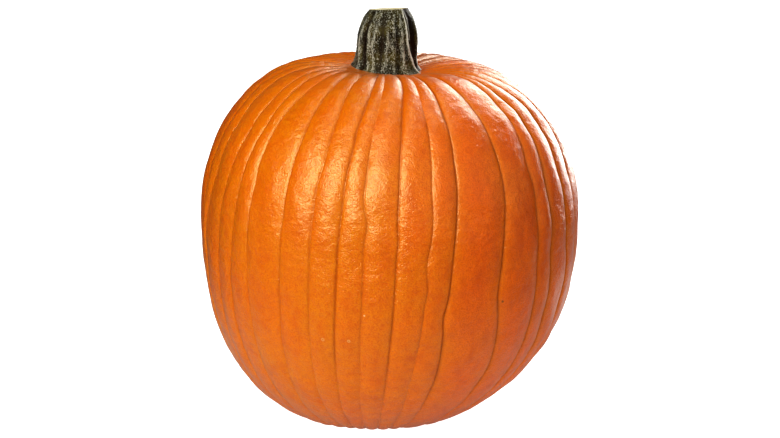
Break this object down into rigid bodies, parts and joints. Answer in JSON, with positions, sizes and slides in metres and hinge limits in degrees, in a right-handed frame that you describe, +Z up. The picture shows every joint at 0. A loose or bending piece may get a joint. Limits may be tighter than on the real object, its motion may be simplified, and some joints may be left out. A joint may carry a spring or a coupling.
{
  "type": "pumpkin",
  "caption": "Ripe orange field pumpkin with a ribbed rind, a cut dark green stalk and a small flat spot that it rests on.",
  "frame": {"origin": "centre of the bottom of the part's box, on the surface it rests on", "axes": "+Z up along the fruit towards the stalk, -Y the front, +X to the right seen from the front"},
  "size_m": [0.2902, 0.2894, 0.3167],
  "materials": {
    "rind": "waxy orange rind, satin gloss with fine pores",
    "stalk": "dry fibrous stalk, dark green-grey with pale streaks, matt"
  },
  "bodies": {
    "root": {"fruit": "rind", "stem": "stalk"}
  },
  "joints": []
}
